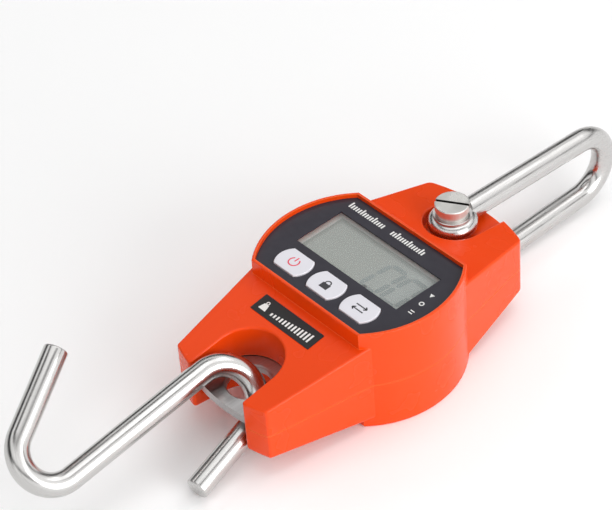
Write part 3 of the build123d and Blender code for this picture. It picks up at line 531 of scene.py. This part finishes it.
def curved_stroke(bm, centre, radius, width, first, sweep, steps=24):
    """A ring or part of a ring of ink, spun round its centre."""
    ends = [
        bm.verts.new((centre[0] + reach * cos(first), centre[1] + reach * sin(first), 0.0))
        for reach in (radius - width / 2, radius + width / 2)
    ]
    edge = bm.edges.new(ends)
    bmesh.ops.spin(
        bm, geom=[*ends, edge], cent=(*centre, 0.0), axis=(0.0, 0.0, 1.0), angle=sweep, steps=steps,
        use_merge=sweep > 2 * pi - 0.01, use_duplicate=False,
    )


def disc(bm, centre, radius, corners, turn=0.0):
    """A filled round or many-sided dot of ink."""
    place = Matrix.Translation((*centre, 0.0)) @ Matrix.Rotation(turn, 4, "Z")
    bmesh.ops.create_circle(bm, cap_ends=True, segments=corners, radius=radius, matrix=place)


def thicken(bm, thickness):
    """Gives flat ink its thickness, upwards from its own plane."""
    bmesh.ops.recalc_face_normals(bm, faces=bm.faces)
    for face in bm.faces:
        if face.normal.z < 0:
            face.normal_flip()
    bmesh.ops.solidify(bm, geom=bm.faces[:], thickness=-thickness)


def segment_bar(bm, start, end, width):
    """One display segment: a bar with pointed ends."""
    run = Vector(end) - Vector(start)
    along = run.normalized()
    side = Vector((-along.y, along.x)) * width / 2
    nose = along * width / 2
    corners = [
        Vector(start), Vector(start) + nose + side, Vector(end) - nose + side, Vector(end),
        Vector(end) - nose - side, Vector(start) + nose - side,
    ]
    bm.faces.new([bm.verts.new((corner.x, corner.y, 0.0)) for corner in reversed(corners)])


def round_bar(radius, start):
    """Starts a round bar that runs along X: its mesh, its bar attribute and its first open rim."""
    bm = bmesh.new()
    bar = bm.verts.layers.float_vector.new("bar")
    bmesh.ops.create_circle(bm, segments=BAR_SIDES, radius=radius, matrix=Matrix.Rotation(pi / 2, 4, "Y"))
    for vert in bm.verts:
        vert[bar] = Vector((vert.co.y, vert.co.z, 0.0))
    bmesh.ops.translate(bm, vec=Vector(start), verts=bm.verts)
    return bm, bar, bm.edges[:]


def lengthen(bm, bar, rim, move, step):
    """Extrudes an open rim once, moves it on and adds to the length written on it."""
    made = bmesh.ops.extrude_edge_only(bm, edges=rim)["geom"]
    fresh = {item for item in made if isinstance(item, bmesh.types.BMVert)}
    bmesh.ops.transform(bm, matrix=move, verts=list(fresh))
    for vert in fresh:
        vert[bar] = vert[bar] + Vector((0.0, 0.0, step))
    return [item for item in made if isinstance(item, bmesh.types.BMEdge) and fresh.issuperset(item.verts)]


def draw_straight(bm, bar, rim, run):
    """A straight stretch of bar."""
    move = Matrix.Translation(run / STRAIGHT_STEPS)
    for _ in range(STRAIGHT_STEPS):
        rim = lengthen(bm, bar, rim, move, run.length / STRAIGHT_STEPS)
    return rim


def bend_bar(bm, bar, rim, centre, turn, radius):
    """A bend of bar round a centre in the bar's own plane."""
    part = turn / BEND_STEPS
    move = Matrix.Translation(centre) @ Matrix.Rotation(part, 4, "Z") @ Matrix.Translation(-centre)
    for _ in range(BEND_STEPS):
        rim = lengthen(bm, bar, rim, move, part * radius)
    return rim


def close_end(bm, rim, end_round):
    """Closes a cut end and softens its edge."""
    bmesh.ops.contextual_create(bm, geom=rim)
    bmesh.ops.bevel(
        bm, geom=rim, offset=end_round, offset_type="OFFSET", segments=5, profile=0.5, affect="EDGES",
        material=-1,
    )


# ---------------------------------------------------------------- operators
class SCALE_OT_housing(bpy.types.Operator):
    """Gives both shells and the battery cover their glossy moulded finish"""

    bl_idname = "scale.housing"
    bl_label = "Finish Housing"

    def execute(self, context):
        colours = context.scene.scale_colours
        dress(
            moulded_plastic("glossy_orange_moulding", colours.housing, colours.housing_edge),
            "front_shell", "back_shell", "battery_cover",
        )
        return {"FINISHED"}


class SCALE_OT_metal(bpy.types.Operator):
    """Gives the shackle, pin, washer, plate and screws their metal finishes"""

    bl_idname = "scale.metal"
    bl_label = "Finish Metal Parts"

    def execute(self, context):
        colours = context.scene.scale_colours
        low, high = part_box("shackle_pin")
        dress(polished_steel("polished_shackle_steel", colours.steel), "shackle_bow")
        dress(slotted_pin("turned_pin", colours.nickel, low, high), "shackle_pin")
        washer = plated_metal("washer_nickel", colours.steel, (low + high) / 2, 0.14)
        dress(washer, "pin_washer", "pin_spacers")
        dress(brushed_plate("brushed_plate", colours.plate), "load_cell")
        zinc = plated_metal("zinc_screw", (0.60, 0.61, 0.62), ANYWHERE, 0.30)
        dress(zinc, "case_screws", "cover_screws", "board_screws", "load_cell_screws")
        return {"FINISHED"}


class SCALE_OT_display(bpy.types.Operator):
    """Gives the panel film, window and display stack their finishes"""

    bl_idname = "scale.display"
    bl_label = "Finish Display"

    def execute(self, context):
        colours = context.scene.scale_colours
        low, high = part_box("lcd_glass")
        halves = [(high[index] - low[index]) / 2 - GLASS_MARGIN for index in range(2)]
        dress(printed_film("panel_film", colours.film), "display_panel")
        dress(clear_window("clear_window", (0.93, 0.95, 0.94)), "display_lens")
        dress(display_face("display_face", colours.display, low, high, halves), "lcd_glass")
        dress(satin_moulding("reflector_white", (0.80, 0.80, 0.77)), "lcd_reflector")
        dress(satin_moulding("contact_rubber", (0.05, 0.05, 0.055), 0.7), "contact_strip")
        dress(satin_moulding("holder_black", (0.03, 0.03, 0.034)), "lcd_holder")
        return {"FINISHED"}


class SCALE_OT_keys(bpy.types.Operator):
    """Gives keys and plungers their finish and prints one icon on each key"""

    bl_idname = "scale.keys"
    bl_label = "Finish Keys"

    def execute(self, context):
        colours = context.scene.scale_colours
        prints = context.scene.scale_prints
        dress(soft_key("soft_key", colours.key), *(f"{key}_key" for key in KEYS))
        dress(satin_moulding("plunger_white", (0.78, 0.78, 0.76)), *(f"{key}_plunger" for key in KEYS))
        icons = {"power": self.power_icon, "hold": self.hold_icon, "unit": self.unit_icon}
        red = ink("red_ink", colours.red_ink)
        black = ink("black_ink", colours.black_ink)
        for key in KEYS:
            low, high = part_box(f"{key}_key")
            place = Matrix.Translation(((low.x + high.x) / 2, (low.y + high.y) / 2, high.z))
            bm = bmesh.new()
            icons[key](bm, prints.stroke)
            thicken(bm, prints.ink)
            power = key == "power"
            keep_piece(
                bm, f"{key}_icon", place, red if power else black, f"{key}_button",
            )
        return {"FINISHED"}

    def power_icon(self, bm, width):
        """A ring open at the top with a bar in the opening."""
        radius = 1.9 * MM
        opening = radians(36)
        bar_low = 0.2 * MM
        bar_high = 2.3 * MM
        curved_stroke(bm, (0.0, 0.0), radius, width, pi / 2 + opening, 2 * pi - 2 * opening)
        stroke(bm, (0.0, bar_low), (0.0, bar_high), width)

    def hold_icon(self, bm, width):
        """A closed padlock."""
        body = (3.4 * MM, 2.4 * MM)
        body_middle = -0.8 * MM
        bow_radius = 1.05 * MM
        bow_foot = 0.7 * MM
        leg_middle = 0.55 * MM
        leg_length = 0.32 * MM
        patch(bm, (0.0, body_middle), body)
        curved_stroke(bm, (0.0, bow_foot), bow_radius, width, 0.0, pi, 16)
        for side in (-1, 1):
            patch(bm, (side * bow_radius, leg_middle), (width, leg_length))

    def unit_icon(self, bm, width):
        """Two arrows that point opposite ways."""
        half = 2.4 * MM
        spread = 0.95 * MM
        head_length = 1.0 * MM
        head_rise = 0.8 * MM
        for side in (-1, 1):
            line = side * spread
            stroke(bm, (-half, line), (half, line), width)
            for lean in (-1, 1):
                tip = Vector((side * half, line))
                stroke(bm, tip, tip + Vector((-side * head_length, lean * head_rise)), width)


class SCALE_OT_panel_print(bpy.types.Operator):
    """Prints the tick marks and the three unit pointers on the panel film"""

    bl_idname = "scale.panel_print"
    bl_label = "Print Panel"

    def execute(self, context):
        colours = context.scene.scale_colours
        prints = context.scene.scale_prints
        white = shared("white_ink", ink, colours.white_ink)
        film_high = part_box("display_panel")[1]
        lens_low, lens_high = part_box("display_lens")
        bm = bmesh.new()
        base_y = lens_high.y + 2.05 * MM
        first_x = lens_low.x + 1.3 * MM
        pause = range(15, 18)
        for index in range(prints.tick_count):
            if index in pause:
                continue
            tall = prints.tick_long if index % 5 == 0 else prints.tick_short
            x = first_x + index * prints.tick_pitch
            patch(bm, (x, base_y + tall / 2), (prints.tick_width, tall))
        thicken(bm, prints.ink)
        place = Matrix.Translation((0.0, 0.0, film_high.z))
        keep_piece(bm, "panel_ticks", place, white, "housing")

        bm = bmesh.new()
        column = lens_high.x + 2.65 * MM
        middle = (lens_low.y + lens_high.y) / 2 - 2.5 * MM
        step = 4.9 * MM
        drift = 0.4 * MM
        disc(bm, (column - drift, middle + step), 1.0 * MM, 3, pi)
        curved_stroke(bm, (column, middle), 0.75 * MM, 0.4 * MM, 0.0, 2 * pi, 20)
        for side in (-0.55 * MM, 0.55 * MM):
            patch(bm, (column + drift, middle - step + side), (1.7 * MM, 0.42 * MM))
        thicken(bm, prints.ink)
        keep_piece(bm, "unit_pointers", place, white, "housing")
        return {"FINISHED"}


class SCALE_OT_digits(bpy.types.Operator):
    """Puts two zeros of seven segments and a decimal point on the display"""

    bl_idname = "scale.digits"
    bl_label = "Light Digits"

    def execute(self, context):
        colours = context.scene.scale_colours
        prints = context.scene.scale_prints
        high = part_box("lcd_glass")[1]
        lens_low, lens_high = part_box("display_lens")
        lean = Matrix.Shear("XZ", 4, (sin(prints.digit_slant), 0.0))
        bm = bmesh.new()
        half = prints.digit_width / 2
        tall = prints.digit_height / 2
        gap = 0.18 * MM
        for column in range(2):
            x = -column * prints.digit_pitch
            for side in (-1, 1):
                stroke_x = x + side * half
                segment_bar(bm, (stroke_x, gap), (stroke_x, tall - gap), prints.digit_stroke)
                segment_bar(bm, (stroke_x, -tall + gap), (stroke_x, -gap), prints.digit_stroke)
                segment_bar(
                    bm, (x - half + gap, side * tall), (x + half - gap, side * tall), prints.digit_stroke
                )
        disc(bm, (-1.5 * prints.digit_pitch + half, -tall), prints.point_radius, 12)
        thicken(bm, prints.ink)
        bmesh.ops.transform(bm, matrix=lean, verts=bm.verts)
        from_right = 7.3 * MM
        below_middle = 1.4 * MM
        middle = (lens_low.y + lens_high.y) / 2 - below_middle
        place = Matrix.Translation((lens_high.x - from_right, middle, high.z))
        dark = ink("segment_dark", colours.segment)
        keep_piece(bm, "display_digits", place, dark, "housing")
        return {"FINISHED"}


class SCALE_OT_label(bpy.types.Operator):
    """Finishes the black label and prints a weight pictogram with a load bar on it"""

    bl_idname = "scale.label"
    bl_label = "Finish Label"

    def execute(self, context):
        colours = context.scene.scale_colours
        prints = context.scene.scale_prints
        dress(satin_moulding("label_vinyl", colours.label, 0.34, 2600.0, 0.000005), "load_sticker")
        mesh = frame["nodes"]["load_sticker"].data
        top = max((face for face in mesh.polygons if face.normal.z > 0), key=lambda face: face.area)
        low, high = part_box("load_sticker")
        middle = (low + high) / 2
        slope = Vector((0.0, 0.0, 1.0)).rotation_difference(top.normal.copy()).to_matrix().to_4x4()
        face_height = (top.center - middle).dot(top.normal)
        place = Matrix.Translation(middle + top.normal * face_height) @ slope
        bm = bmesh.new()
        left = -10.4 * MM
        base_y = -1.9 * MM
        # the weight: a ring over a block that widens downwards
        curved_stroke(bm, (left, 1.15 * MM), 0.55 * MM, 0.36 * MM, 0.0, 2 * pi, 20)
        block = [(-1.0 * MM, 0.6 * MM), (1.0 * MM, 0.6 * MM), (1.65 * MM, base_y), (-1.65 * MM, base_y)]
        bm.faces.new([bm.verts.new((left + x, y, 0.0)) for x, y in block])
        # the load bar: rising strokes
        for index in range(13):
            x = left + (4.3 + 1.45 * index) * MM
            tall = (1.2 + 0.18 * index) * MM
            patch(bm, (x, base_y + tall / 2), (0.72 * MM, tall))
        thicken(bm, prints.ink)
        white = shared("white_ink", ink, colours.white_ink)
        keep_piece(bm, "label_pictogram", place, white, "housing")
        return {"FINISHED"}


class SCALE_OT_hook(bpy.types.Operator):
    """Bends the S-hook out of one round bar, with its length written along it for the finish"""

    bl_idname = "scale.hook"
    bl_label = "Bend Hook"

    def execute(self, context):
        colours = context.scene.scale_colours
        sizes = context.scene.scale_hook
        joint = next(joint for joint in frame["joints"] if joint["child"] == "hook")
        bm, bar, rim = round_bar(sizes.bar_radius, (0.0, sizes.small_bend, 0.0))
        load_centre = Vector((sizes.shank, sizes.small_bend + sizes.large_bend, 0.0))
        tip_run = Vector((cos(sizes.large_angle), sin(sizes.large_angle), 0.0))
        short_run = Vector((-cos(sizes.small_angle), -sin(sizes.small_angle), 0.0))
        far = draw_straight(bm, bar, rim, Vector((sizes.shank, 0.0, 0.0)))
        far = bend_bar(bm, bar, far, load_centre, sizes.large_angle, sizes.large_bend)
        far = draw_straight(bm, bar, far, tip_run * sizes.tip)
        near = bend_bar(bm, bar, rim, Vector(), sizes.small_angle, sizes.small_bend)
        near = draw_straight(bm, bar, near, short_run * sizes.short)
        for end in (far, near):
            close_end(bm, end, sizes.end_round)
        place = (
            Matrix.Translation(Vector(joint["pos_m"]))
            @ Matrix.Rotation(sizes.heading, 4, "Z")
            @ Matrix.Rotation(-sizes.climb, 4, "Y")
            @ Matrix.Rotation(sizes.roll, 4, "X")
        )
        steel = bar_steel("bar_steel", colours.steel)
        piece = keep_piece(bm, "bent_hook", place, steel, "hook")
        piece.data.shade_smooth()
        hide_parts("s_hook")
        return {"FINISHED"}


class SCALE_OT_electronics(bpy.types.Operator):
    """Finishes the circuit board, its parts, the gauges and the leads"""

    bl_idname = "scale.electronics"
    bl_label = "Finish Electronics"

    def execute(self, context):
        black = (0.028, 0.028, 0.032)
        dress(circuit_green("solder_mask", (0.02, 0.19, 0.07)), "circuit_board")
        dress(satin_moulding("chip_epoxy", black, 0.5), "board_chips", "key_switches")
        dress(polished_steel("can_steel", (0.74, 0.74, 0.74)), "quartz_can")
        dress(plated_metal("gauge_foil", (0.80, 0.52, 0.20), ANYWHERE, 0.35), "strain_gauges")
        dress(satin_moulding("silicone_white", (0.78, 0.78, 0.75), 0.4, 500.0, 0.00004), "gauge_coating")
        dress(satin_moulding("lead_black", (0.03, 0.03, 0.03), 0.42), "load_cell_lead")
        dress(satin_moulding("lead_red", (0.50, 0.02, 0.02), 0.42), "battery_leads")
        return {"FINISHED"}


class SCALE_OT_batteries(bpy.types.Operator):
    """Finishes the two cells, their contacts and springs and the cover's foam pad"""

    bl_idname = "scale.batteries"
    bl_label = "Finish Batteries"

    def execute(self, context):
        colours = context.scene.scale_colours
        low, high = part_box("battery_cells")
        dress(cell_jacket("cell_jacket", (0.045, 0.05, 0.06), low, high), "battery_cells")
        plated = plated_metal("contact_nickel", colours.nickel, ANYWHERE, 0.26)
        dress(plated, "battery_contacts", "battery_springs")
        dress(satin_moulding("foam_black", (0.05, 0.05, 0.052), 0.9, 700.0, 0.00015), "cover_pad")
        return {"FINISHED"}


class SCALE_OT_stage(bpy.types.Operator):
    """Lays the plain floor and sets the soft lights and the camera"""

    bl_idname = "scale.stage"
    bl_label = "Set Stage"

    def execute(self, context):
        scene = context.scene
        studio = scene.scale_studio
        low, high = cad_box
        centre = (low + high) / 2
        self.lay_floor(scene, studio, low.z - studio.floor_gap)
        self.softbox("top_light", centre, studio.top_offset, studio.top_size, studio.top_power)
        self.softbox("key_light", centre, studio.key_offset, studio.key_size, studio.key_power)
        self.surround(scene, studio.sky)
        self.aim_camera(scene, studio)
        return {"FINISHED"}

    def lay_floor(self, scene, studio, height):
        """The plain floor, just below the scale."""
        bm = bmesh.new()
        bmesh.ops.create_circle(
            bm, cap_ends=True, segments=96, radius=studio.floor_radius,
            matrix=Matrix.Translation((0.0, 0.0, height)),
        )
        mesh = bpy.data.meshes.new("floor")
        bm.to_mesh(mesh)
        bm.free()
        finish = Recipe("floor_paint", studio.floor, 0.75)
        finish.tint(finish.remap(finish.noise(6.0), 0.0, 0.3), darker(studio.floor, 0.985))
        mesh.materials.append(finish.material)
        floor = bpy.data.objects.new("floor", mesh)
        scene.collection.objects.link(floor)

    def aim_camera(self, scene, studio):
        """The camera at its place and angles."""
        data = bpy.data.cameras.new("camera")
        data.lens = studio.lens
        camera = bpy.data.objects.new("camera", data)
        turn = (
            Matrix.Rotation(studio.azimuth, 4, "Z")
            @ Matrix.Rotation(pi / 2 - studio.elevation, 4, "X")
            @ Matrix.Rotation(studio.roll, 4, "Z")
        )
        camera.matrix_world = Matrix.Translation(Vector(studio.camera)) @ turn
        scene.collection.objects.link(camera)
        scene.camera = camera

    def softbox(self, name, centre, offset, size, power):
        """One square area light that faces the scale."""
        data = bpy.data.lights.new(name, "AREA")
        data.size = size
        data.energy = power
        light = bpy.data.objects.new(name, data)
        light.location = centre + offset
        light.rotation_mode = "QUATERNION"
        light.rotation_quaternion = (-offset).to_track_quat("-Z", "Y")
        bpy.context.scene.collection.objects.link(light)

    def surround(self, scene, strength):
        """A pale room, banded to the left and to the right, behind a plain pale backdrop."""
        world = bpy.data.worlds.new("studio_room")
        world.use_nodes = True
        tree = world.node_tree
        direction = tree.nodes.new("ShaderNodeTexCoord")
        axes = tree.nodes.new("ShaderNodeSeparateXYZ")
        tree.links.new(direction.outputs["Generated"], axes.inputs[0])
        left = self.wall(tree, axes.outputs["Z"], ROOM_LEFT)
        right = self.wall(tree, axes.outputs["Z"], ROOM_RIGHT)
        across = tree.nodes.new("ShaderNodeMapRange")
        across.interpolation_type = "SMOOTHSTEP"
        across.inputs["From Min"].default_value = ROOM_BLEND[0]
        across.inputs["From Max"].default_value = ROOM_BLEND[1]
        tree.links.new(axes.outputs["X"], across.inputs["Value"])
        both = tree.nodes.new("ShaderNodeMix")
        tree.links.new(across.outputs["Result"], both.inputs["Factor"])
        tree.links.new(left, both.inputs["A"])
        tree.links.new(right, both.inputs["B"])
        room = tree.nodes["Background"]
        room.inputs["Strength"].default_value = strength
        tree.links.new(both.outputs[0], room.inputs["Color"])
        backdrop = tree.nodes.new("ShaderNodeBackground")
        backdrop.inputs["Color"].default_value = BACKDROP
        seen = tree.nodes.new("ShaderNodeLightPath")
        choose = tree.nodes.new("ShaderNodeMixShader")
        tree.links.new(seen.outputs["Is Camera Ray"], choose.inputs[0])
        tree.links.new(room.outputs[0], choose.inputs[1])
        tree.links.new(backdrop.outputs[0], choose.inputs[2])
        tree.links.new(choose.outputs[0], tree.nodes["World Output"].inputs["Surface"])
        scene.world = world
        scene.view_settings.view_transform = "Standard"

    def wall(self, tree, height, stops):
        """Brightness of one side of the room from level to overhead."""
        ramp = tree.nodes.new("ShaderNodeValToRGB")
        elements = ramp.color_ramp.elements
        while len(elements) < len(stops):
            elements.new(0.5)
        for element, (level, grey) in zip(elements, stops):
            element.position = level
            element.color = (grey, grey, grey, 1.0)
        tree.links.new(height, ramp.inputs[0])
        return ramp.outputs[0]


OPERATORS = (
    SCALE_OT_housing, SCALE_OT_metal, SCALE_OT_display, SCALE_OT_keys, SCALE_OT_panel_print, SCALE_OT_digits,
    SCALE_OT_label, SCALE_OT_hook, SCALE_OT_electronics, SCALE_OT_batteries, SCALE_OT_stage,
)
GROUPS = {
    "scale_colours": ScaleColours, "scale_prints": PrintSizes, "scale_hook": HookSizes,
    "scale_studio": StudioSettings,
}


class SCALE_PT_sidebar(bpy.types.Panel):
    """Lists the steps and the settings of the scale"""

    bl_label = "Hanging Scale"
    bl_idname = "SCALE_PT_sidebar"
    bl_space_type = "VIEW_3D"
    bl_region_type = "UI"
    bl_category = "Scale"

    def draw(self, context):
        for operator in OPERATORS:
            self.layout.operator(operator.bl_idname)
        for name, group in GROUPS.items():
            box = self.layout.box()
            for setting in group.__annotations__:
                box.prop(getattr(context.scene, name), setting)


def register():
    for group in GROUPS.values():
        bpy.utils.register_class(group)
    for name, group in GROUPS.items():
        setattr(bpy.types.Scene, name, PointerProperty(type=group))
    for operator in OPERATORS:
        bpy.utils.register_class(operator)
    bpy.utils.register_class(SCALE_PT_sidebar)


def unregister():
    bpy.utils.unregister_class(SCALE_PT_sidebar)
    for operator in reversed(OPERATORS):
        bpy.utils.unregister_class(operator)
    for name in GROUPS:
        delattr(bpy.types.Scene, name)
    for group in reversed(GROUPS.values()):
        bpy.utils.unregister_class(group)


def main():
    """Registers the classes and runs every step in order."""
    register()
    for operator in OPERATORS:
        step = operator.bl_idname.removeprefix("scale.")
        getattr(bpy.ops.scale, step)()


if __name__ == "__main__":
    main()
